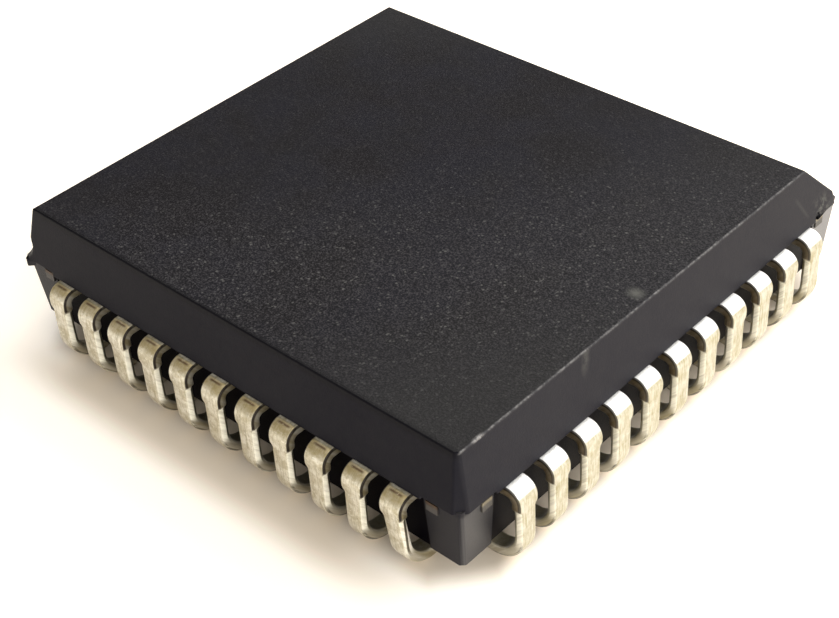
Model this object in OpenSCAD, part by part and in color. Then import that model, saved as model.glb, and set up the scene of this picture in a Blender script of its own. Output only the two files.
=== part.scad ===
// Plastic leaded chip carrier with 44 J-shaped leads, standing on its lead feet.
// Millimetres, +Z up, origin on the seating plane under the middle of the package.
// The first side, with the bevelled top edge, faces +Y.

/* [Package body] */
// From the middle of an end lead to the edge of the body at the parting line
end_room = 1.93; // [1.89:0.01:1.96]
// Height of the parting line above the seating plane
parting_height = 2.61; // [2.58:0.01:2.7]
// Height of the upper half above the parting line
upper_height = 1.72; // [1.6:0.01:1.8]
// Inward lean of the upper walls over their height
upper_draft = 0.4; // [0.3:0.01:0.45]
// Set-in of the lower half under the parting line
lower_inset = 0.115; // [0.05:0.005:0.15]
// Inward lean of the lower walls over their height
lower_draft = 0.145; // [0.05:0.005:0.25]
// Gap between the underside and the seating plane
standoff = 0.8; // [0.7:0.01:0.88]
// Width of the bevel along the top edge of the first side
side_bevel = 1.16; // [0.8:0.01:1.25]
// Corner chamfer at the parting line
chamfer_low = 0.3; // [0.25:0.01:0.4]
// Corner chamfer at the top face
chamfer_high = 0.1; // [0.06:0.01:0.14]
// Chamfer at the parting line of the corner opposite the gate
chamfer_left = 0.2; // [0.14:0.01:0.3]
// Chamfer of that corner at the top face
chamfer_crown = 0.02; // [0.01:0.01:0.1]
// Corner chamfer of the lower half
chamfer_under = 0.08; // [0.06:0.01:0.2]
// Rise of the parting line at the corner blocks
corner_rise = 0.09; // [0.04:0.01:0.14]
// Chamfer of the index corner
index_chamfer = 1.14; // [1.0:0.01:1.2]
// Depth of the chip knocked out of one corner edge
nick_depth = 0.09; // [0.04:0.01:0.12]
// Height of that chip above the parting line
nick_rise = 0.58; // [0.5:0.01:0.8]
// Thickness of the flash left on the corner opposite the gate
flash_thickness = 0.16; // [0.1:0.01:0.2]
// Length by which the flash stands out from that corner
flash_reach = 0.13; // [0.06:0.01:0.16]
// Width of the scar where the mould gate was broken off
gate_width = 0.16; // [0.12:0.01:0.3]
// Depth of the gate scar
gate_depth = 0.04; // [0.02:0.005:0.06]

/* [Lead bays] */
// Set-back of the wall behind a row of leads from the corner blocks
bay_step = 0.06; // [0.03:0.01:0.1]
// Clear room beside the end leads of a row
bay_margin = 0.27; // [0.2:0.01:0.3]
// Clear room in front of, behind and above a rolled lead tip in its pocket
tip_room = 0.3; // [0.2:0.01:0.35]
// Clear room on both sides of a rolled lead tip in its pocket
tip_margin = 0.14; // [0.1:0.01:0.18]
// Diameter of the ejector mark on the underside
ejector_diameter = 2.4; // [2:0.1:3]
// Depth of the ejector mark
ejector_depth = 0.06; // [0.03:0.01:0.1]

/* [Leads] */
// Spacing of the leads along a side
lead_pitch = 1.27; // [1.25:0.005:1.28]
// Distance from the body's edge to the outer face of a leg
lead_stand = 0.44; // [0.4:0.01:0.55]
// Thickness of the leadframe strip
strip_thickness = 0.29; // [0.24:0.01:0.3]
// Lead width from the body to the trim step
upper_width = 0.72; // [0.66:0.01:0.76]
// Lead width below the trim step
lower_width = 0.52; // [0.44:0.01:0.56]
// Depth of the trim step under the shoulder
step_depth = 0.6; // [0.5:0.01:0.75]
// Outer radius of the shoulder bend
shoulder_radius = 0.42; // [0.36:0.01:0.43]
// Outer radius of the rolled foot
foot_radius = 1.0; // [0.9:0.01:1.05]
// Angle through which the foot is rolled
foot_angle = 165; // [150:1:168]
// Number of the one lead that has been knocked
bent_lead = 28; // [1:1:44]
// Angle by which the knocked lead leans in under the body
bent_in = 5; // [0:0.5:6]
// Sideways shift of the knocked lead's foot, towards the next lead number
bent_aside = 0.13; // [0:0.01:0.16]

/* [Leadframe inside] */
// Side of the square die paddle
paddle_side = 6.6; // [6:0.1:7]
// Finger tips, from the middle of the package
finger_reach = 3.95; // [3.8:0.05:4.1]
// Width of a finger tip
finger_width = 0.28; // [0.2:0.01:0.32]
// Width of a tie bar
tie_width = 0.36; // [0.3:0.01:0.4]
// Length of trimmed tie bar left standing out of the lower half
tie_stub = 0.03; // [0.01:0.005:0.04]

/* [Die] */
// Side of the square die
die_side = 5.0; // [4.8:0.1:5.4]
// Thickness of the die
die_thickness = 0.38; // [0.3:0.01:0.5]
// Thickness of the die attach layer
attach_thickness = 0.04; // [0.02:0.01:0.08]
// Thickness of a bond wire
wire_thickness = 0.04; // [0.03:0.005:0.05]
// Rise of a bond wire above the die
loop_height = 0.26; // [0.2:0.01:0.4]

/* [Hidden] */
per_side = 11;
lead_count = 4 * per_side;
row_half = (per_side - 1) / 2 * lead_pitch;
body_half = row_half + end_room;
lead_half = body_half + lead_stand;
strip_bottom = parting_height - strip_thickness;
top_height = parting_height + upper_height;
top_half = body_half - upper_draft;
low_half = body_half - lower_inset;
under_half = low_half - lower_draft;
lower_slope = lower_draft / (parting_height - standoff);
core_rise = 0.2;
core_height = parting_height + core_rise;
core_half = low_half + core_rise * lower_slope;
upper_slope = upper_draft / upper_height;
bevel_edge = top_half - side_bevel;
bevel_foot = (bevel_edge + upper_height - body_half) / (1 - upper_slope);
ledge = low_half - bay_step;
relief_step = 0.1;
bay_half = row_half + upper_width / 2 + bay_margin;
tip_wall = lead_half - 2 * foot_radius - tip_room;
tip_run = strip_thickness + 2 * tip_room;
tip_roof = foot_radius + tip_room;
bar_run = 1.03;
inner_bar = body_half - bar_run;
bar_root = 0.3;
finger_stub = 0.01;
finger_end = low_half + finger_stub;
fan_ratio = 0.5;
tie_gap = 0.1;
tie_seat = bay_half + tie_gap + tie_width / 2;
die_floor = parting_height + attach_thickness;
die_top = die_floor + die_thickness;
pad_inset = 0.2;
pad_reach = die_side / 2 - pad_inset;
pad_ratio = 0.33;
bond_inset = 0.25;
bond_reach = finger_reach + bond_inset;
bond_foot = 0.12;
bond_rise = 0.2;
bond_bend = 0.4 * wire_thickness;
nick_radius = 0.5;
flash_width = 0.3;
gate_rise = corner_rise + gate_width / 2;
gate_place = bay_half + tie_gap;
sink = 0.02;
overrun = 1;
far = 40;
$fn = 64;

function two_digits(n) = n < 10 ? str("0", n) : str(n);
function lead_name(n) = str("lead_", two_digits(n));
function lead_place(n) = (n + 4) % lead_count;
function lead_side(n) = floor(lead_place(n) / per_side);
function lead_offset(n) = row_half - lead_place(n) % per_side * lead_pitch;
function diagonal(half, cut) = (2 * half - cut) / sqrt(2);

// A prism through the whole package with a profile that leans from one width to another.
module leaning_prism(low_left, low_right, high_left, high_right, z_low, z_high) {
    rotate([90, 0, 0])
        linear_extrude(height = far, center = true)
            polygon([
                [-low_left, z_low],
                [low_right, z_low],
                [high_right, z_high],
                [-high_left, z_high]
            ]);
}

// End profile of the upper half, with the bevel along the first side.
module bevelled_prism() {
    rotate([90, 0, 90])
        linear_extrude(height = far, center = true)
            polygon([
                [-body_half, parting_height],
                [body_half, parting_height],
                [body_half - upper_slope * bevel_foot, parting_height + bevel_foot],
                [bevel_edge, top_height],
                [-top_half, top_height]
            ]);
}

// Upper half of the moulding: four leaning walls, three plain corners and the index corner.
module upper_half() {
    plain_low = diagonal(body_half, chamfer_low);
    plain_high = diagonal(top_half, chamfer_high);
    left_low = diagonal(body_half, chamfer_left);
    left_high = diagonal(top_half, chamfer_crown);
    index_low = diagonal(body_half, index_chamfer);
    index_high = diagonal(top_half, index_chamfer);
    intersection() {
        leaning_prism(body_half, body_half, top_half, top_half, parting_height, top_height);
        bevelled_prism();
        rotate([0, 0, 45])
            leaning_prism(left_low, plain_low, left_high, plain_high, parting_height, top_height);
        rotate([0, 0, -45])
            leaning_prism(index_low, plain_low, index_high, plain_high, parting_height, top_height);
    }
}

// Chip knocked out of the corner edge between the second and third sides.
module corner_nick() {
    lean = (diagonal(body_half, chamfer_left) - diagonal(top_half, chamfer_crown)) / upper_height;
    wall = diagonal(body_half, chamfer_left) - lean * nick_rise;
    rotate([0, 0, 45])
        translate([-wall - nick_radius + nick_depth, 0, parting_height + nick_rise])
            rotate([90, 0, 0])
                cylinder(r = nick_radius, h = overrun, center = true);
}

// Flash that the mould left under the parting line on the same corner.
module corner_flash() {
    inner = diagonal(low_half, chamfer_under) - flash_width / 2;
    rotate([0, 0, -135])
        translate([inner, -flash_width / 2, parting_height - flash_thickness])
            cube([flash_width / 2 + flash_reach, flash_width, flash_thickness + corner_rise]);
}

// Shallow scar on the wall of the fourth side, just above the parting line near the first side,
// where the mould gate was broken off.
module gate_scar() {
    wall = body_half - upper_slope * gate_rise;
    translate([wall, gate_place, parting_height + gate_rise])
        rotate([0, -atan(upper_slope), 0])
            rotate([0, 90, 0])
                translate([0, 0, -gate_depth])
                    cylinder(d = gate_width, h = overrun);
}

// Strips cut from the rim of the upper half over one corner block, which stands up into them.
module corner_relief() {
    inner = low_half - relief_step;
    translate([inner, bay_half, parting_height - overrun])
        cube([far, far, overrun + corner_rise]);
    translate([bay_half, inner, parting_height - overrun])
        cube([far, far, overrun + corner_rise]);
}

// Strip taken off the lower half behind one row of leads, which leaves the corner blocks standing out.
module lead_bay() {
    foot = standoff - overrun;
    rotate([90, 0, 90])
        linear_extrude(height = 2 * bay_half, center = true)
            polygon([
                [ledge, parting_height],
                [ledge - lower_slope * (parting_height - foot), foot],
                [body_half + overrun, foot],
                [body_half + overrun, parting_height]
            ]);
}

// Pocket in the underside for the rolled tip of one lead.
module tip_pocket(n) {
    width = lower_width + 2 * tip_margin;
    rotate([0, 0, 90 * lead_side(n)])
        translate([lead_offset(n) - width / 2, tip_wall, standoff - overrun])
            cube([width, tip_run, tip_roof - standoff + overrun]);
}

// Lower half of the moulding: set in, leaning, with a pocket under it for each lead.
// It runs up into the upper half, because the two are one piece.
module lower_half() {
    plain_low = diagonal(under_half, chamfer_under);
    plain_high = diagonal(core_half, chamfer_under);
    index_low = diagonal(under_half, index_chamfer);
    index_high = diagonal(core_half, index_chamfer);
    difference() {
        intersection() {
            leaning_prism(under_half, under_half, core_half, core_half, standoff, core_height);
            rotate([0, 0, 90])
                leaning_prism(under_half, under_half, core_half, core_half, standoff, core_height);
            rotate([0, 0, 45])
                leaning_prism(plain_low, plain_low, plain_high, plain_high, standoff, core_height);
            rotate([0, 0, -45])
                leaning_prism(index_low, plain_low, index_high, plain_high, standoff, core_height);
        }
        for (side = [0:3])
            rotate([0, 0, 90 * side])
                lead_bay();
        for (n = [1:lead_count])
            tip_pocket(n);
        translate([0, 0, standoff - overrun])
            cylinder(d = ejector_diameter, h = overrun + ejector_depth);
    }
}

module moulding() {
    union() {
        difference() {
            upper_half();
            corner_nick();
            gate_scar();
            for (side = [0:3])
                rotate([0, 0, 90 * side])
                    corner_relief();
        }
        lower_half();
        corner_flash();
    }
}

// The moulding, formed in one piece around the leadframe, the die and its wires.
module package_body() {
    color([0.1, 0.1, 0.11])
        difference() {
            difference() {
                difference() {
                    moulding();
                    for (n = [1:lead_count])
                        finger(n);
                }
                paddle_shape();
                die_stack();
            }
            wire_shapes(sink);
        }
}

// Outline of a lead seen from its edge: bar, shoulder bend, leg and rolled foot.
// A lead that leans in is bent further at the shoulder.
module lead_edge(lean) {
    shoulder_x = lead_half - shoulder_radius;
    shoulder_y = parting_height - shoulder_radius;
    foot_x = lead_half - foot_radius;
    reach = 2 * foot_radius;
    translate([ledge - bar_root, strip_bottom])
        square([shoulder_x - ledge + bar_root, strip_thickness]);
    translate([shoulder_x, shoulder_y])
        intersection() {
            difference() {
                circle(r = shoulder_radius);
                circle(r = shoulder_radius - strip_thickness);
            }
            polygon([
                [0, 0],
                [0, reach],
                [reach, reach],
                [reach, -reach * tan(lean)]
            ]);
        }
    translate([shoulder_x, shoulder_y])
        rotate(-lean)
            translate([-shoulder_x, -shoulder_y]) {
                translate([lead_half - strip_thickness, foot_radius])
                    square([strip_thickness, shoulder_y - foot_radius]);
                translate([foot_x, foot_radius])
                    intersection() {
                        difference() {
                            circle(r = foot_radius);
                            circle(r = foot_radius - strip_thickness);
                        }
                        polygon([
                            [0, 0],
                            [reach, 0],
                            [reach, -reach],
                            [-reach, -reach],
                            [-reach, -reach * tan(180 - foot_angle)]
                        ]);
                    }
            }
}

// Outline of a lead seen from the front: wide to the trim step, narrow below it.
// A lead that was knocked aside slants below the step.
module lead_front(aside) {
    step = parting_height - step_depth;
    taper = (upper_width - lower_width) / 2;
    slant = aside / step;
    low_shift = slant * (step + overrun);
    polygon([
        [-upper_width / 2, parting_height + overrun],
        [-upper_width / 2, step],
        [-lower_width / 2 - slant * taper, step - taper],
        [-lower_width / 2 - low_shift, -overrun],
        [lower_width / 2 - low_shift, -overrun],
        [lower_width / 2 - slant * taper, step - taper],
        [upper_width / 2, step],
        [upper_width / 2, parting_height + overrun]
    ]);
}

// The formed part of a lead outside the moulding.
module lead_bend(lean, aside) {
    intersection() {
        rotate([90, 0, 90])
            linear_extrude(height = 2 * upper_width, center = true)
                lead_edge(lean);
        translate([0, lead_half + overrun, 0])
            rotate([90, 0, 0])
                linear_extrude(height = lead_half)
                    lead_front(aside);
    }
}

// The flat finger of a lead inside the moulding, fanning in towards the die.
module finger(n) {
    s = lead_offset(n);
    tip = s * fan_ratio;
    rotate([0, 0, 90 * lead_side(n)])
        translate([0, 0, strip_bottom])
            linear_extrude(height = strip_thickness)
                polygon([
                    [s - upper_width / 2, finger_end],
                    [s - upper_width / 2, inner_bar],
                    [tip - finger_width / 2, finger_reach],
                    [tip + finger_width / 2, finger_reach],
                    [s + upper_width / 2, inner_bar],
                    [s + upper_width / 2, finger_end]
                ]);
}

module lead(n) {
    color([0.78, 0.77, 0.73])
        union() {
            finger(n);
            rotate([0, 0, 90 * lead_side(n)])
                translate([lead_offset(n), 0, 0])
                    lead_bend(n == bent_lead ? bent_in : 0, n == bent_lead ? bent_aside : 0);
        }
}

// One tie bar: a diagonal strap that forks to the two walls beside its corner.
module tie_bar() {
    reach = low_half + tie_stub;
    fork = tie_seat - tie_width / 2;
    rotate(45)
        translate([0, -tie_width / 2])
            square([tie_seat * sqrt(2), tie_width]);
    translate([fork, fork])
        square([reach - fork, tie_width]);
    translate([fork, fork])
        square([tie_width, reach - fork]);
}

module paddle_shape() {
    translate([0, 0, strip_bottom])
        linear_extrude(height = strip_thickness)
            union() {
                square(paddle_side, center = true);
                for (corner = [0, 2, 3])
                    rotate(90 * corner)
                        tie_bar();
                rotate(135)
                    translate([0, -tie_width / 2])
                        square([diagonal(low_half, index_chamfer) + tie_stub, tie_width]);
            }
}

module die_paddle() {
    color([0.72, 0.45, 0.28])
        paddle_shape();
}

module attach_shape() {
    translate([-die_side / 2, -die_side / 2, parting_height])
        cube([die_side, die_side, attach_thickness]);
}

module die_attach() {
    color([0.7, 0.7, 0.72])
        attach_shape();
}

module die_shape() {
    translate([-die_side / 2, -die_side / 2, die_floor])
        cube([die_side, die_side, die_thickness]);
}

module silicon_die() {
    color([0.3, 0.32, 0.4])
        die_shape();
}

// Room for the die and its attach layer, open to the room for the paddle.
module die_stack() {
    translate([-die_side / 2, -die_side / 2, parting_height - sink])
        cube([die_side, die_side, sink + attach_thickness + die_thickness]);
}

// One bond wire, looping from its pad on the die down to its finger tip.
// The room for it in the moulding reaches below its feet, into the rooms for the die and the finger.
module wire_loop(run, below) {
    t = wire_thickness;
    crest = die_top + loop_height;
    rise_end = bond_foot + bond_rise;
    fall_start = run / 2;
    linear_extrude(height = t, center = true)
        polygon(concat(
            [[0, die_top - below], [bond_foot, die_top - below]],
            below > 0 ? [[bond_foot, die_top]] : [],
            [[rise_end, crest - t], [fall_start, crest - t], [run - bond_foot, parting_height]],
            below > 0 ? [[run - bond_foot, parting_height - below]] : [],
            [
                [run, parting_height - below],
                [run, parting_height + t],
                [run - bond_foot + bond_bend, parting_height + t],
                [fall_start + bond_bend, crest],
                [rise_end - bond_bend, crest],
                [bond_foot - bond_bend, die_top + t],
                [0, die_top + t]
            ]
        ));
}

module wire_shapes(below) {
    for (n = [1:lead_count]) {
        s = lead_offset(n);
        pad = s * pad_ratio;
        along = (bond_reach - finger_reach) / (inner_bar - finger_reach);
        bond = s * fan_ratio + s * (1 - fan_ratio) * along;
        dx = bond - pad;
        dy = bond_reach - pad_reach;
        rotate([0, 0, 90 * lead_side(n)])
            translate([pad, pad_reach, 0])
                rotate([0, 0, atan2(dy, dx)])
                    rotate([90, 0, 0])
                        wire_loop(norm([dx, dy]), below);
    }
}

module bond_wires() {
    color([0.9, 0.7, 0.3])
        wire_shapes(0);
}

package_body();
die_paddle();
die_attach();
silicon_die();
bond_wires();
for (n = [1:lead_count]) {
    lead(n);
}
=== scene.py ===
"""Looks of a 44-lead plastic leaded chip carrier: a matte black moulding on satin tinned leads."""
import math
from types import SimpleNamespace

import bpy
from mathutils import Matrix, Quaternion, Vector


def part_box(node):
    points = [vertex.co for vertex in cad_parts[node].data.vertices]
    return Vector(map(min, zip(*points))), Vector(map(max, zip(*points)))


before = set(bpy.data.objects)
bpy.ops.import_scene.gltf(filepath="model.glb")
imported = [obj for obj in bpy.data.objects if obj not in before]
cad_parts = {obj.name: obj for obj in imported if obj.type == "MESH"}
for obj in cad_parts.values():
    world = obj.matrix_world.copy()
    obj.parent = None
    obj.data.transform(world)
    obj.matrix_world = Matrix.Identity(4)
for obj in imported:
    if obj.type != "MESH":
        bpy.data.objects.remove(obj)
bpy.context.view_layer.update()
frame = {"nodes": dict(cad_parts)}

MM = 0.001
PER_MM = 1000.0


def rgb(red, green, blue):
    return (red, green, blue, 1.0)


# Sizes in millimetres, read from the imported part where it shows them. The bays behind the leads reach
# BAY_HALF to both sides of the middle, and the corner blocks' outer edges lie past CORNER_BLOCK
_, body_high = (corner * PER_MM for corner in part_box("package_body"))
_, lead_high = (corner * PER_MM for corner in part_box("lead_34"))
BODY_HALF = body_high.x
TOP_HEIGHT = body_high.z
LEAD_HALF = lead_high.x
PARTING = lead_high.z
PITCH = 1.27
UPPER_DRAFT = 0.4
TOP_HALF = BODY_HALF - UPPER_DRAFT
BAY_HALF = 6.98
BAY_BLUR = 0.05
CORNER_BLOCK = 7.6
STRIP = 0.29
STEP_DEPTH = 0.6
SHOULDER = 0.42
FOOT = 1.0

# Rounding of edges. The moulding's are rounded at the rim, above DIE_REACH over the parting line and on the
# corner blocks. Its other edges are sealed in, or lie behind and under the leads
BODY_ROUNDING = 0.045
LEAD_ROUNDING = 0.075
ROUNDING_STEPS = 3
JOIN_DISTANCE = 0.0005
RIM_DEPTH = 0.08
DIE_REACH = 0.7
BLOCK_CLEARANCE = 0.1
FLAT_ANGLE = math.radians(0.5)
MOULDING_EDGE = math.radians(12)
LEAD_EDGE = math.radians(35)
CRISP_EDGE = math.radians(40)

# Sandy band across the top, by x - y, and the parts of the top that are rubbed paler
BAND_MIDDLE = 6.0
BAND_REACH = 9.0
RUBBED_RIGHT = (1.0, 8.0)
RUBBED_FRONT = (7.0, 15.0)
RUBBED_BACK = (8.0, 15.0)

# Right-hand edge of the top: worn, with a painted highlight along it, and a chip. Painted shade darkens the
# soft left-hand edge
RIM_FADE = (TOP_HEIGHT - 0.09, TOP_HEIGHT - 0.03)
WORN_HIGHLIGHT_X = TOP_HALF - 0.01
WORN_HIGHLIGHT_WIDTH = 0.035
CHIP_Y = -7.13
CHIP_LENGTH = 0.26
CHIP_WIDTH = 0.10
EDGE_SHADE_WIDTH = 0.2
EDGE_SHADE_FADE = (TOP_HEIGHT - 0.25, TOP_HEIGHT - 0.05)

# Smear on the top. On the wall under the worn edge: a scrape, a flow line and the gate, by height over the
# parting line. The front corner block loses its gloss away from its edge
SMEAR_X = TOP_HALF - 0.38
SMEAR_Y = -0.58
SMEAR_LENGTH = 0.34
SMEAR_WIDTH = 0.3
SCRAPE_Y = -3.8
SCRAPE_LEAN = -0.4
SCRAPE_WIDTH = 0.22
SCRAPE_FADE = (0.9, 1.5)
FLOW_Y = 6.825
FLOW_LEAN = 0.62
FLOW_WIDTH = 0.11
FLOW_START = (0.25, 0.5)
FLOW_END = (1.0, 1.2)
GATE_Y = 7.3
GATE_WIDTH = 0.6
GATE_HEIGHT = 0.35
GATE_REACH = 0.5
GLOSS_END = (-BODY_HALF + 0.5, -BAY_HALF)

# Stamped edge of a lead, by depth under its outer face: outline, burnished strip, lip and inner face
OUTLINE_END = (0.05, 0.09)
BURNISHED_END = (0.18, 0.21)
LIP_START = (0.26, 0.28)
INNER_START = (0.25, 0.28)

# Heights at which a lead's foot ends and its wider part above the trim step begins
FOOT_END = (0.55, 0.95)
STEP_FADE = (PARTING - STEP_DEPTH - 0.1, PARTING - STEP_DEPTH + 0.05)

# Painted contact shadow at the root of a lead's bar by the moulding, and the line that the bending tool left
# across it
CONTACT_SHADOW_END = (BODY_HALF + 0.03, BODY_HALF + 0.11)
TOOL_LINE_OUT = BODY_HALF + 0.15
TOOL_LINE_WIDTH = 0.06
TOOL_LINE_END = (0.14, 0.26)

# Where the two rows that the photograph shows lie, and the tie bar ends beside the right-hand one
LEFT_ROW = (-BODY_HALF - 0.1, -BODY_HALF)
RIGHT_ROW = (BODY_HALF - 0.3, BODY_HALF)
# The tie bar ends past RIGHT_TIE_BARS get a painted glare in place of bare copper
RIGHT_TIE_BARS = (-BODY_HALF + 0.4, -BODY_HALF + 0.9)
TIE_BAR_SMEAR = (PARTING - 0.09, PARTING)

# Steps between the stain patterns of two leads, of the two pairs of sides and of opposite sides
LEAD_STEP = 7.31
PAIR_STEP = 3.7
OPPOSITE_STEP = 11.9

# Camera of the photograph: a lens on a 36 mm wide frame, seen from the corner between two rows
EYE = Vector((26.623, -27.833, PARTING + 27.698))
AIM = Vector((2.117, -2.926, PARTING))
ROLL = math.radians(-3.76)
LENS = 71.107
SENSOR_WIDTH = 36.0
NEAREST = 1

# Floor: the shade along the left-hand row, and the white wash around the part
FLOOR_HALF = 400
SHADE_START = (-LEAD_HALF - 1.7, -LEAD_HALF - 0.3)
SHADE_END = (-4.0, 4.0)
SHADE_MIDDLE = -0.6
SHADE_HALF = (4.5, 8.6)
WASH_START = (LEAD_HALF - 0.7, LEAD_HALF + 0.1)
WASH_FAR = (LEAD_HALF + 2.0, LEAD_HALF + 8.0)
WASH_LIT = (-3.0, 6.0)
CORNER_SHARE = 0.54

# Room: its bright side, and the lamps' direction, distance, size, level and colour
RIGHT_BACK = Vector((0.73, 0.68, 0.0))
WARM_WHITE = (1.0, 0.98, 0.95)
PAPER_WHITE = (1.0, 0.97, 0.92)
LAMPS = {
    "key": ((0.22, 0.78, 0.62), 120, 90, 0.55, WARM_WHITE),
    "shoulder": ((0.66, 0.45, 0.58), 120, 50, 0.34, WARM_WHITE),
    "side": ((0.85, -0.42, 0.36), 140, 70, 0.58, WARM_WHITE),
    "front": ((0.0, -0.95, 0.5), 160, 110, 0.08, PAPER_WHITE),
    "top": ((-0.1, 0.1, 1.0), 150, 120, 0.25, WARM_WHITE),
}

# Tones of the moulding
EPOXY_DEEP = rgb(0.0070, 0.0068, 0.0118)
EPOXY_PLAIN = rgb(0.0105, 0.0102, 0.0150)
EPOXY_CLOUD = rgb(0.0060, 0.0050, 0.0066)
EPOXY_RUBBED = rgb(0.020, 0.0195, 0.0200)
EPOXY_PIT = rgb(0.0020, 0.0018, 0.0030)
EPOXY_SAND = rgb(0.060, 0.057, 0.061)
EPOXY_PAINTED_EDGE_SHADE = rgb(0.004, 0.0038, 0.005)
EPOXY_SPECK = rgb(0.150, 0.148, 0.142)
EPOXY_SCUFF = rgb(0.022, 0.022, 0.023)
EPOXY_MARK = rgb(0.11, 0.11, 0.10)
EPOXY_PAINTED_GLARE = rgb(0.30, 0.30, 0.31)
EPOXY_WORN_HIGHLIGHT = rgb(0.27, 0.265, 0.26)
EPOXY_CHIPPED = rgb(0.38, 0.37, 0.36)
EPOXY_PAINTED_SHADE = rgb(0.0030, 0.0026, 0.0040)
EPOXY_PAINTED_BOUNCE = rgb(0.05, 0.044, 0.038)

# Tones of the leads
TIN_WARM = rgb(0.55, 0.50, 0.36)
TIN_PALE = rgb(0.82, 0.79, 0.68)
TIN_DRAWN = rgb(0.38, 0.34, 0.22)
TIN_STAIN = rgb(0.34, 0.27, 0.14)
TIN_BRIGHT = rgb(0.95, 0.93, 0.86)
TIN_PAINTED_LIT_ROW_PALE = rgb(0.60, 0.59, 0.52)
TIN_PAINTED_LIT_ROW_DARK = rgb(0.33, 0.29, 0.15)
TIN_PAINTED_GLARE = rgb(0.97, 0.97, 0.95)
TIN_PAINTED_REFLECTION = rgb(0.54, 0.40, 0.13)
TIN_TOOL_LINE = rgb(0.12, 0.06, 0.025)
TIN_PAINTED_CONTACT_SHADOW = rgb(0.05, 0.04, 0.025)
TIN_DULL_DARK = rgb(0.20, 0.16, 0.08)
TIN_DULL_PALE = rgb(0.40, 0.37, 0.30)
TIN_PAINTED_SIDE_SHADE = rgb(0.09, 0.06, 0.025)
TIN_BURNISHED = rgb(1.0, 0.97, 0.82)
TIN_TORN_SHADED = rgb(0.05, 0.041, 0.02)
TIN_LIP = rgb(0.80, 0.77, 0.68)
TIN_PAINTED_INNER_SHADE = rgb(0.17, 0.145, 0.09)
TIN_OUTLINE = rgb(0.012, 0.007, 0.003)


class Signal:
    """One value in a material. It adds, scales and compares like a number, through Math nodes."""

    def __init__(self, shader, socket):
        self.shader = shader
        self.socket = socket

    def math(self, operation, *others):
        node = self.shader.tree.nodes.new("ShaderNodeMath")
        node.operation = operation
        for place, value in enumerate((self, *others)):
            self.shader.feed(node.inputs[place], value)
        return Signal(self.shader, node.outputs[0])

    def __add__(self, other):
        return self.math("ADD", other)

    def __sub__(self, other):
        return self.math("SUBTRACT", other)

    def __mul__(self, other):
        return self.math("MULTIPLY", other)

    def __neg__(self):
        return self.math("MULTIPLY", -1.0)

    def __abs__(self):
        return self.math("ABSOLUTE")

    def least(self, other):
        return self.math("MINIMUM", other)

    def most(self, other):
        return self.math("MAXIMUM", other)

    def span(self, other):
        """Length of the straight line over both values at right angles."""
        return (self * self + other * other).math("SQRT")

    def inverse(self):
        return self.math("MULTIPLY_ADD", -1.0, 1.0)

    def rise(self, low, high):
        """0 below low and 1 above high, smooth between them."""
        node = self.shader.tree.nodes.new("ShaderNodeMapRange")
        node.interpolation_type = "SMOOTHSTEP"
        self.shader.feed(node.inputs["Value"], self)
        node.inputs["From Min"].default_value = low
        node.inputs["From Max"].default_value = high
        return Signal(self.shader, node.outputs["Result"])

    def fall(self, low, high):
        """1 below low and 0 above high, smooth between them."""
        return self.rise(low, high).inverse()

    def near(self, centre, reach):
        """1 at the centre, fading to 0 at the reach on both sides."""
        return abs(self - centre).fall(0.0, reach)


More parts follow.
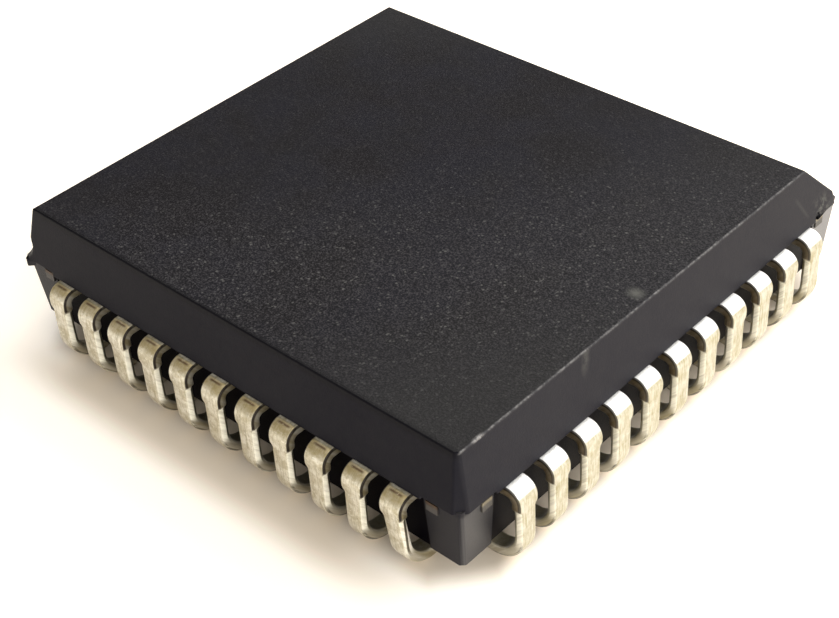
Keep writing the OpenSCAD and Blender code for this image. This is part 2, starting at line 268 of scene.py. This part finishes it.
class Shader:
    """A node tree with short ways to make the nodes that these materials need."""

    def __init__(self, owner):
        owner.use_nodes = True
        self.tree = owner.node_tree
        self.tree.nodes.clear()
        of_world = isinstance(owner, bpy.types.World)
        self.target = "ShaderNodeOutputWorld" if of_world else "ShaderNodeOutputMaterial"

    def feed(self, socket, value):
        if isinstance(value, Signal):
            self.tree.links.new(value.socket, socket)
        elif isinstance(value, bpy.types.NodeSocket):
            self.tree.links.new(value, socket)
        else:
            socket.default_value = value

    def node(self, kind, **inputs):
        made = self.tree.nodes.new(kind)
        for name, value in inputs.items():
            self.feed(made.inputs[name.replace("_", " ")], value)
        return made

    def split(self, vector):
        made = self.node("ShaderNodeSeparateXYZ", Vector=vector)
        return tuple(Signal(self, made.outputs[axis]) for axis in "XYZ")

    def join(self, x, y, z):
        return self.node("ShaderNodeCombineXYZ", X=x, Y=y, Z=z).outputs["Vector"]

    def millimetres(self):
        """The place on the part, in millimetres."""
        scale = self.node("ShaderNodeVectorMath")
        scale.operation = "SCALE"
        self.feed(scale.inputs["Vector"], self.node("ShaderNodeTexCoord").outputs["Object"])
        scale.inputs["Scale"].default_value = PER_MM
        return scale.outputs["Vector"]

    def facing(self):
        """The direction that the surface faces, as three signals."""
        return self.split(self.node("ShaderNodeNewGeometry").outputs["Normal"])

    def noise(self, vector, scale, detail=2.0, roughness=0.5):
        made = self.node("ShaderNodeTexNoise", Vector=vector, Scale=scale)
        made.inputs["Detail"].default_value = detail
        made.inputs["Roughness"].default_value = roughness
        return Signal(self, made.outputs[0])

    def cells(self, vector, scale):
        """Distance from the middle of the nearest cell, and a number of that cell's own."""
        made = self.node("ShaderNodeTexVoronoi", Vector=vector, Scale=scale)
        own, _, _ = self.split(made.outputs["Color"])
        return Signal(self, made.outputs["Distance"]), own

    def blend(self, share, first, second):
        made = self.tree.nodes.new("ShaderNodeMix")
        made.data_type = "RGBA"
        colours = [socket for socket in made.inputs if socket.type == "RGBA"]
        self.feed(made.inputs[0], share)
        self.feed(colours[0], first)
        self.feed(colours[1], second)
        return next(socket for socket in made.outputs if socket.type == "RGBA")

    def layered(self, tone, *layers):
        """The tone with each layer's own tone laid over it in turn, by the layer's share."""
        for share, colour in layers:
            tone = self.blend(share, tone, colour)
        return tone

    def bump(self, height, millimetres, strength=1.0):
        made = self.node("ShaderNodeBump", Height=height, Distance=millimetres * MM, Strength=strength)
        return made.outputs["Normal"]

    def surface(self, **inputs):
        shader = self.node("ShaderNodeBsdfPrincipled", **inputs)
        self.output(shader.outputs["BSDF"])

    def output(self, socket):
        self.feed(self.tree.nodes.new(self.target).inputs["Surface"], socket)


def new_material(name):
    material = bpy.data.materials.new(name)
    return material, Shader(material)


def moulding_zones(s, x, y, z):
    """Shares of the moulding's surface: top, right-hand side, corner blocks and walls behind the leads."""
    facing_right, _, facing_up = s.facing()
    height = z - PARTING
    lower = height.fall(-0.05, 0.1)
    block = lower * abs(x).least(abs(y)).rise(BAY_HALF - BAY_BLUR, BAY_HALF + BAY_BLUR)
    right = facing_right.rise(0.5, 0.8)
    return SimpleNamespace(
        height=height,
        top=facing_up.rise(0.93, 0.98),
        right=right,
        block=block,
        behind=lower * (lower - block) * facing_up.rise(-0.8, -0.5),
        shut_in=y.rise(*GLOSS_END) * y.fall(-BAY_HALF, 0.0) * right * block,
    )


def moulding_marks(x, y, zone, scuff):
    """Pale marks: a smear on the top, and a scrape, a flow line and the gate on the right-hand wall."""
    height = zone.height
    smear = y.near(SMEAR_Y, SMEAR_WIDTH) * x.near(SMEAR_X, SMEAR_LENGTH) * zone.top
    scrape = (y + height * SCRAPE_LEAN).near(SCRAPE_Y, SCRAPE_WIDTH) * height.rise(*SCRAPE_FADE) * zone.right
    flow = (y + height * FLOW_LEAN).near(FLOW_Y, FLOW_WIDTH) * height.rise(*FLOW_START)
    flow = flow * height.fall(*FLOW_END) * zone.right
    gate = y.near(GATE_Y, GATE_WIDTH) * height.near(GATE_HEIGHT, GATE_REACH) * zone.right
    gate = gate * scuff.rise(0.45, 0.6)
    return (smear * 2.6).most(scrape * scuff.rise(0.3, 0.55)).most(flow * 0.4).most(gate * 1.8)


def mould_compound():
    """Black epoxy: sandy on top, smooth on the walls, glossy on the corner blocks, worn along one edge.
    Painted light: a highlight along the worn edge, shade along the other top edge, glare on one corner
    block, shade on the walls behind the leads and bounce light low on those behind the right-hand row.
    """
    material, s = new_material("mould_compound_black")
    place = s.millimetres()
    x, y, z = s.split(place)
    zone = moulding_zones(s, x, y, z)
    top = zone.top
    right = zone.right
    block = zone.block
    behind = zone.behind
    cloud = s.noise(place, 0.35, detail=5.0, roughness=0.6)
    sand = s.noise(place, 19.0, detail=3.0, roughness=0.75)
    scuff = s.noise(place, 4.5, detail=5.0, roughness=0.75)
    grain, own = s.cells(place, 13.0)

    # A sandier band runs across the top, which is rubbed paler to the right and at two of its corners
    coarse = top * ((x - y).near(BAND_MIDDLE, BAND_REACH) * 0.8 + 0.2)
    speckle = grain.fall(0.25, 0.65) * own.rise(0.87, 1.0) * coarse
    rubbed = x.rise(*RUBBED_RIGHT) * 0.5 + (x - y).rise(*RUBBED_FRONT) * 0.7
    rubbed = (rubbed + (y - x).rise(*RUBBED_BACK) * 0.8) * top

    rim = z.rise(*RIM_FADE)
    # Worn right-hand edge of the top, with a painted highlight along it
    worn_highlight = x.near(WORN_HIGHLIGHT_X, WORN_HIGHLIGHT_WIDTH) * rim * (scuff.rise(0.42, 0.66) * 0.6 + 0.2)
    chip = y.near(CHIP_Y, CHIP_LENGTH) * x.near(TOP_HALF, CHIP_WIDTH) * rim * scuff.rise(0.3, 0.5)
    # Painted shade along the soft left-hand edge of the top, which also hides the speckles there
    edge_shade = y.near(-TOP_HALF, EDGE_SHADE_WIDTH) * z.rise(*EDGE_SHADE_FADE)
    tone = s.layered(
        s.blend(cloud.rise(0.3, 0.7), EPOXY_DEEP, EPOXY_PLAIN),
        (top * cloud.rise(0.35, 0.65), EPOXY_CLOUD),
        (rubbed, EPOXY_RUBBED),
        (sand.fall(0.36, 0.50) * coarse * 0.8, EPOXY_PIT),
        (sand.rise(0.46, 0.66) * (coarse * 0.75 + top * 0.2), EPOXY_SAND),
        (edge_shade * 0.7, EPOXY_PAINTED_EDGE_SHADE),
        (speckle * (edge_shade * 0.9).inverse() * 0.6, EPOXY_SPECK),
        (scuff.rise(0.35, 0.7) * top.inverse() * 0.15, EPOXY_SCUFF),
        (moulding_marks(x, y, zone, scuff) * 0.35, EPOXY_MARK),
        # Painted glare on the right-hand face of the far corner block
        (block * right * y.rise(0.0, BAY_HALF) * 0.5, EPOXY_PAINTED_GLARE),
        (worn_highlight * 0.8, EPOXY_WORN_HIGHLIGHT),
        (chip * 0.8, EPOXY_CHIPPED),
        # Painted shade on the walls behind the leads
        (behind, EPOXY_PAINTED_SHADE),
        # Painted bounce light, paler towards the bottom of the wall behind the right-hand row
        (behind * right * zone.height.fall(-1.6, -0.9) * 0.2, EPOXY_PAINTED_BOUNCE),
    )
    gloss = block * (right * 0.26 + 0.02) - zone.shut_in * 0.2 + top * 0.09 + right * 0.06
    s.surface(
        Base_Color=tone,
        Roughness=sand * 0.14 + top * 0.14 - block * 0.08 + 0.36,
        Specular_IOR_Level=gloss - behind * (right * 0.04 + 0.06) + 0.07,
        Normal=s.bump(sand * (top * 0.7 + 0.3), 0.02, 0.8),
    )
    return material


def lead_places(s):
    """Where a point lies on its own lead, and which way the strip faces there."""
    x, y, z = s.split(s.millimetres())
    facing_x, facing_y, facing_up = s.facing()
    on_x_side = (abs(x) - abs(y)).math("GREATER_THAN", 0.0)
    out = abs(x).most(abs(y))
    row = x + (y - x) * on_x_side
    number = (row * (1.0 / PITCH)).math("ROUND")

    # Depth under the strip's outer face, round the shoulder bend and round the rolled foot
    bend = (out - (LEAD_HALF - SHOULDER)).most(0.0).span((z - (PARTING - SHOULDER)).most(0.0))
    roll = (out - (LEAD_HALF - FOOT)).span((-z + FOOT).most(0.0))
    return SimpleNamespace(
        z=z,
        out=out,
        across=row - number * PITCH,
        along=out - z,
        depth=(-bend + SHOULDER).least(-roll + FOOT),
        up=facing_up,
        sideways=abs(facing_x + (facing_y - facing_x) * on_x_side),
        own=number * LEAD_STEP + on_x_side * PAIR_STEP + (x + y).math("SIGN") * OPPOSITE_STEP,
        left_row=y.fall(*LEFT_ROW),
        right_row=x.rise(*RIGHT_ROW),
    )


def stamped_edge(at):
    """Shares of the lead's cut sides: above the trim step, on the leg in three zones, and on the foot."""
    upper = at.z.rise(*STEP_FADE)
    foot = at.z.fall(*FOOT_END)
    leg = upper.most(foot).inverse() * at.sideways.rise(0.55, 0.8)
    burnished = leg * at.depth.fall(*BURNISHED_END)
    lip = leg * at.depth.rise(*LIP_START)
    return SimpleNamespace(
        side=at.sideways.rise(0.75, 0.95),
        upper=upper,
        foot=foot,
        burnished=burnished,
        lip=lip,
        torn=leg * burnished.most(lip).inverse(),
        inner=at.depth.rise(*INNER_START) * at.sideways.fall(0.2, 0.5),
        outline=at.sideways.rise(0.30, 0.50) * at.depth.fall(*OUTLINE_END),
    )


def lead_plating():
    """Satin tin drawn along the strip and stained, on stamped edges: burnished outside, torn dark inside.
    Painted light by row: glare and its own mottle on the right-hand row, a dim reflection and contact shadow
    on the left-hand row's bars, and shade on torn bands, side and inner faces.
    """
    material, s = new_material("tin_plating_satin")
    at = lead_places(s)
    edge = stamped_edge(at)
    right_row = at.right_row
    strip = s.join(at.across, at.along, at.own)
    drawn = s.join(at.across * 9.0, at.along * 0.9, at.own)
    streak = s.noise(drawn, 1.9, detail=6.0, roughness=0.75)
    patch = s.noise(strip, 3.0, detail=4.0, roughness=0.6)
    spot = s.noise(strip, 9.0, detail=4.0, roughness=0.7)

    bar = at.up.rise(0.35, 0.85) * at.left_row
    tool_line = at.out.near(TOOL_LINE_OUT, TOOL_LINE_WIDTH) * bar * abs(at.across).fall(*TOOL_LINE_END)
    # Painted light: the lit right-hand row gets its own darker, yellowish mottle
    lit_row_mottle = s.blend((patch * 0.5 + streak * 0.5).rise(0.38, 0.60), TIN_PAINTED_LIT_ROW_PALE, TIN_PAINTED_LIT_ROW_DARK)
    dull = s.blend(patch.rise(0.35, 0.65), TIN_DULL_DARK, TIN_DULL_PALE)
    outlined = (edge.upper * (at.left_row * 0.1 + 0.9)).most(edge.foot * spot.rise(0.40, 0.55) * 0.8)
    # Weights by row paint light: the right-hand row is lit, and the other rows get more painted shade
    tone = s.layered(
        s.blend(patch.rise(0.32, 0.68), TIN_WARM, TIN_PALE),
        (streak.rise(0.44, 0.66) * 0.75, TIN_DRAWN),
        (spot.rise(0.54, 0.66) * 0.45, TIN_STAIN),
        (spot.fall(0.34, 0.46) * 0.5, TIN_BRIGHT),
        (right_row * 0.75, lit_row_mottle),
        # Painted glare on the up-facing tops of the right-hand row
        (right_row * at.up.rise(0.45, 0.6), TIN_PAINTED_GLARE),
        # Painted dim tan reflection on the bar tops of the left-hand row
        (bar * 0.55, TIN_PAINTED_REFLECTION),
        (tool_line * spot.rise(0.28, 0.42) * 0.9, TIN_TOOL_LINE),
        # Painted contact shadow where the left-hand row's bars meet the moulding
        (at.out.fall(*CONTACT_SHADOW_END) * bar * 0.8, TIN_PAINTED_CONTACT_SHADOW),
        (edge.side * edge.upper * 0.9, dull),
        (edge.side * edge.foot * (right_row * -0.4 + 0.6), dull),
        # Painted shade on the upper side faces of the right-hand row
        (edge.side * edge.upper * right_row * 0.7, TIN_PAINTED_SIDE_SHADE),
        (edge.burnished * (spot.rise(0.38, 0.62) * -0.5 + 1.0), TIN_BURNISHED),
        # Torn band, with painted shade making it darker away from the lit right-hand row
        (edge.torn * (right_row * -0.7 + 0.9), TIN_TORN_SHADED),
        (edge.lip * 0.8, TIN_LIP),
        # Painted shade on the inner faces of the leads, less on the lit right-hand row
        (edge.inner * (right_row * -0.45 + 0.75), TIN_PAINTED_INNER_SHADE),
        (edge.outline * outlined, TIN_OUTLINE),
    )
    s.surface(
        Base_Color=tone,
        Metallic=edge.burnished.most(edge.lip) * -0.6 + 0.6,
        Roughness=streak * 0.25 + spot * 0.15 + 0.18,
        Normal=s.bump(streak + spot * 0.6, 0.016, 0.9),
    )
    return material


def cut_copper():
    """Copper alloy of the leadframe: bare and dull where a tie bar was cut off, smeared grey lower down. The
    ends past RIGHT_TIE_BARS are pale with a painted glare.
    """
    material, s = new_material("leadframe_copper_bare")
    place = s.millimetres()
    _, y, z = s.split(place)
    grain = s.noise(place, 18.0, detail=4.0, roughness=0.7)
    tarnish = s.noise(place, 6.0, detail=4.0, roughness=0.7)
    smear = (z + tarnish * 0.1).fall(*TIE_BAR_SMEAR)
    tone = s.layered(
        s.blend(tarnish.rise(0.35, 0.65), rgb(0.085, 0.045, 0.022), rgb(0.045, 0.028, 0.018)),
        # Painted glare: pale grey-tan in place of copper on these tie bar ends
        (y.rise(*RIGHT_TIE_BARS), rgb(0.21, 0.185, 0.13)),
        (smear * 0.92, rgb(0.034, 0.031, 0.030)),
    )
    s.surface(
        Base_Color=tone,
        Metallic=smear.inverse() * 0.6,
        Roughness=grain * 0.25 + 0.38,
        Normal=s.bump(grain, 0.01),
    )
    return material


def silver_epoxy():
    """Die attach: silver flakes in a grey resin."""
    material, s = new_material("silver_epoxy_flakes")
    flake, own = s.cells(s.millimetres(), 30.0)
    tone = s.blend(own.rise(0.3, 0.8), rgb(0.42, 0.42, 0.43), rgb(0.72, 0.72, 0.73))
    s.surface(Base_Color=tone, Metallic=0.8, Roughness=own * 0.3 + 0.35, Normal=s.bump(flake, 0.01))
    return material


def silicon():
    """Polished silicon with faint blocks of circuitry."""
    material, s = new_material("silicon_polished")
    place = s.millimetres()
    block, own = s.cells(place, 2.2)
    fine = s.noise(place, 25.0)
    tone = s.blend(own.rise(0.2, 0.9), rgb(0.10, 0.10, 0.14), rgb(0.22, 0.20, 0.26))
    s.surface(Base_Color=tone, Metallic=0.6, Roughness=fine * 0.1 + 0.15, Normal=s.bump(block, 0.004))
    return material


def gold_wire():
    """Drawn gold wire."""
    material, s = new_material("gold_drawn")
    draw = s.noise(s.millimetres(), 40.0, detail=3.0)
    tone = s.blend(draw.rise(0.3, 0.7), rgb(0.80, 0.55, 0.18), rgb(0.95, 0.72, 0.32))
    s.surface(Base_Color=tone, Metallic=1.0, Roughness=draw * 0.15 + 0.18)
    return material


def rays(s, first, *others):
    """1 for a ray of any of the named kinds."""
    path = s.node("ShaderNodeLightPath")
    seen = Signal(s, path.outputs[first])
    for kind in others:
        seen = seen.most(Signal(s, path.outputs[kind]))
    return seen


def floor_paper():
    """Pale warm paper. It keeps the shade along the left-hand row and washes out to white elsewhere."""
    material, s = new_material("floor_paper")
    seen = rays(s, "Is Camera Ray", "Is Glossy Ray", "Is Transmission Ray")
    x, y, _ = s.split(s.millimetres())
    out = abs(x).most(abs(y)).most((abs(x) + abs(y)) * CORNER_SHARE)
    front = y.rise(*SHADE_START) * y.fall(*SHADE_END)
    shade = front * abs(x - SHADE_MIDDLE).fall(*SHADE_HALF)
    clear = out.rise(*WASH_START) * shade.inverse()
    lit_side = (x * RIGHT_BACK.x + y * RIGHT_BACK.y).rise(*WASH_LIT)
    far = out.rise(*WASH_FAR)
    level = seen * clear * (lit_side * 0.3 + far * 0.3 + 0.5)
    paper = s.node("ShaderNodeBsdfDiffuse", Color=rgb(0.88, 0.78, 0.65))
    wash = s.node("ShaderNodeEmission", Color=rgb(1.0, 0.99, 0.96), Strength=level)
    both = s.node("ShaderNodeAddShader")
    s.feed(both.inputs[0], paper.outputs["BSDF"])
    s.feed(both.inputs[1], wash.outputs["Emission"])
    s.output(both.outputs["Shader"])
    return material


def studio_world():
    """A white surround for the camera, and a soft room that is brighter on the lamp's side."""
    world = bpy.data.worlds.new("studio")
    bpy.context.scene.world = world
    s = Shader(world)
    dx, dy, dz = s.split(s.node("ShaderNodeTexCoord").outputs["Generated"])
    lamp_side = (dx * RIGHT_BACK.x + dy * RIGHT_BACK.y).rise(-0.5, 0.9)
    horizon = dz.fall(0.05, 0.5)
    room = s.blend(lamp_side.most(horizon * 0.7), rgb(0.16, 0.145, 0.125), rgb(0.75, 0.74, 0.72))
    colour = s.blend(rays(s, "Is Camera Ray"), room, rgb(1.0, 1.0, 1.0))
    s.output(s.node("ShaderNodeBackground", Color=colour, Strength=1.0).outputs["Background"])


def softbox(name, direction, distance, size, level, colour):
    """A square area lamp aimed at the part. The level is what a white card facing it would show."""
    data = bpy.data.lights.new(name, "AREA")
    data.shape = "SQUARE"
    data.size = size * MM
    data.color = colour
    data.energy = level * (math.pi * distance * MM) ** 2
    lamp = bpy.data.objects.new(name, data)
    bpy.context.scene.collection.objects.link(lamp)
    back = Vector(direction).normalized()
    lamp.location = back * distance * MM
    lamp.rotation_mode = "QUATERNION"
    lamp.rotation_quaternion = back.to_track_quat("Z", "Y")


def lay_floor():
    half = FLOOR_HALF * MM
    corners = [(-half, -half, 0), (half, -half, 0), (half, half, 0), (-half, half, 0)]
    mesh = bpy.data.meshes.new("floor")
    mesh.from_pydata(corners, [], [(0, 1, 2, 3)])
    floor = bpy.data.objects.new("floor", mesh)
    floor.data.materials.append(floor_paper())
    bpy.context.scene.collection.objects.link(floor)


def place_camera():
    data = bpy.data.cameras.new("camera")
    data.lens = LENS
    data.sensor_width = SENSOR_WIDTH
    data.clip_start = NEAREST * MM
    camera = bpy.data.objects.new("camera", data)
    camera.location = EYE * MM
    camera.rotation_mode = "QUATERNION"
    camera.rotation_quaternion = (AIM - EYE).to_track_quat("-Z", "Y") @ Quaternion((0, 0, 1), ROLL)
    bpy.context.scene.collection.objects.link(camera)
    bpy.context.scene.camera = camera


class Group:
    """A geometry node group that sends a mesh through one node after another."""

    def __init__(self, name):
        self.tree = bpy.data.node_groups.new(name, "GeometryNodeTree")
        for way in ("INPUT", "OUTPUT"):
            self.tree.interface.new_socket("Geometry", in_out=way, socket_type="NodeSocketGeometry")
        self.geometry = self.tree.nodes.new("NodeGroupInput").outputs[0]

    def feed(self, socket, value):
        if isinstance(value, bpy.types.NodeSocket):
            self.tree.links.new(value, socket)
        else:
            socket.default_value = value

    def field(self, kind):
        return self.tree.nodes.new(kind).outputs[0]

    def math(self, operation, *values):
        made = self.tree.nodes.new("ShaderNodeMath")
        made.operation = operation
        for place, value in enumerate(values):
            self.feed(made.inputs[place], value)
        return made.outputs[0]

    def send(self, node, **inputs):
        """Sends the mesh through a node with these inputs."""
        self.feed(node.inputs["Geometry"], self.geometry)
        for name, value in inputs.items():
            self.feed(node.inputs[name], value)
        self.geometry = node.outputs["Geometry"]

    def store(self, name, kind, value):
        """Writes a value on each edge, under the name that Blender knows it by."""
        made = self.tree.nodes.new("GeometryNodeStoreNamedAttribute")
        made.data_type = kind
        made.domain = "EDGE"
        self.feed(next(socket for socket in made.inputs if socket.name == "Value" and socket.enabled), value)
        self.send(made, Name=name)

    def finished(self):
        self.feed(self.tree.nodes.new("NodeGroupOutput").inputs[0], self.geometry)
        return self.tree


def joined_surface():
    """Node group that drops stored normals and joins the faces' own corner points."""
    group = Group("joined_surface")
    nodes = group.tree.nodes
    group.send(nodes.new("GeometryNodeRemoveAttribute"), Name="custom_normal")
    group.send(nodes.new("GeometryNodeMergeByDistance"), Distance=JOIN_DISTANCE * MM)
    group.send(nodes.new("GeometryNodeSetShadeSmooth"))
    return group.finished()


def outer_edges():
    """Node group that marks the moulding's outer edges for rounding and leaves those sealed inside."""
    group = Group("outer_edges")
    place = group.tree.nodes.new("ShaderNodeSeparateXYZ")
    group.feed(place.inputs[0], group.field("GeometryNodeInputPosition"))
    size_x = group.math("ABSOLUTE", place.outputs["X"])
    size_y = group.math("ABSOLUTE", place.outputs["Y"])
    height = place.outputs["Z"]
    rim = group.math("GREATER_THAN", group.math("MAXIMUM", size_x, size_y), (BODY_HALF - RIM_DEPTH) * MM)
    above = group.math("GREATER_THAN", height, (PARTING + DIE_REACH) * MM)
    below = group.math("LESS_THAN", height, (PARTING - STRIP - BLOCK_CLEARANCE) * MM)
    corner = group.math("GREATER_THAN", group.math("MINIMUM", size_x, size_y), CORNER_BLOCK * MM)
    block = group.math("MULTIPLY", below, corner)
    sharp = group.math("GREATER_THAN", group.field("GeometryNodeInputMeshEdgeAngle"), MOULDING_EDGE)
    outer = group.math("MAXIMUM", group.math("MAXIMUM", rim, above), block)
    group.store("bevel_weight_edge", "FLOAT", group.math("MULTIPLY", outer, sharp))
    return group.finished()


def crisp_edges():
    """Node group that keeps the edges that stay sharp crisp in the shading."""
    group = Group("crisp_edges")
    steep = group.math("GREATER_THAN", group.field("GeometryNodeInputMeshEdgeAngle"), CRISP_EDGE)
    group.store("sharp_edge", "BOOLEAN", steep)
    return group.finished()


def round_edges(piece, joined, crisp, width, marks=None):
    """Joins a CAD node's faces, rounds its edges and shades it smoothly, all by modifiers."""
    piece.modifiers.new("join", "NODES").node_group = joined
    flats = piece.modifiers.new("flats", "DECIMATE")
    flats.decimate_type = "DISSOLVE"
    flats.angle_limit = FLAT_ANGLE
    if marks is not None:
        piece.modifiers.new("marks", "NODES").node_group = marks
    bevel = piece.modifiers.new("rounding", "BEVEL")
    bevel.width = width * MM
    bevel.segments = ROUNDING_STEPS
    bevel.limit_method = "ANGLE" if marks is None else "WEIGHT"
    bevel.angle_limit = LEAD_EDGE
    bevel.use_clamp_overlap = False
    piece.modifiers.new("crisp", "NODES").node_group = crisp
    piece.modifiers.new("shading", "WEIGHTED_NORMAL").keep_sharp = True


def dress(piece, material):
    piece.data.materials.clear()
    piece.data.materials.append(material)


def dress_part():
    nodes = frame["nodes"]
    joined = joined_surface()
    crisp = crisp_edges()
    dress(nodes["package_body"], mould_compound())
    round_edges(nodes["package_body"], joined, crisp, BODY_ROUNDING, outer_edges())
    dress(nodes["die_paddle"], cut_copper())
    dress(nodes["die_attach"], silver_epoxy())
    dress(nodes["silicon_die"], silicon())
    dress(nodes["bond_wires"], gold_wire())
    plating = lead_plating()
    for name, piece in nodes.items():
        if name.startswith("lead_"):
            dress(piece, plating)
            round_edges(piece, joined, crisp, LEAD_ROUNDING)


dress_part()
lay_floor()
studio_world()
for lamp_name, settings in LAMPS.items():
    softbox(lamp_name, *settings)
place_camera()
bpy.context.scene.view_settings.view_transform = "Standard"
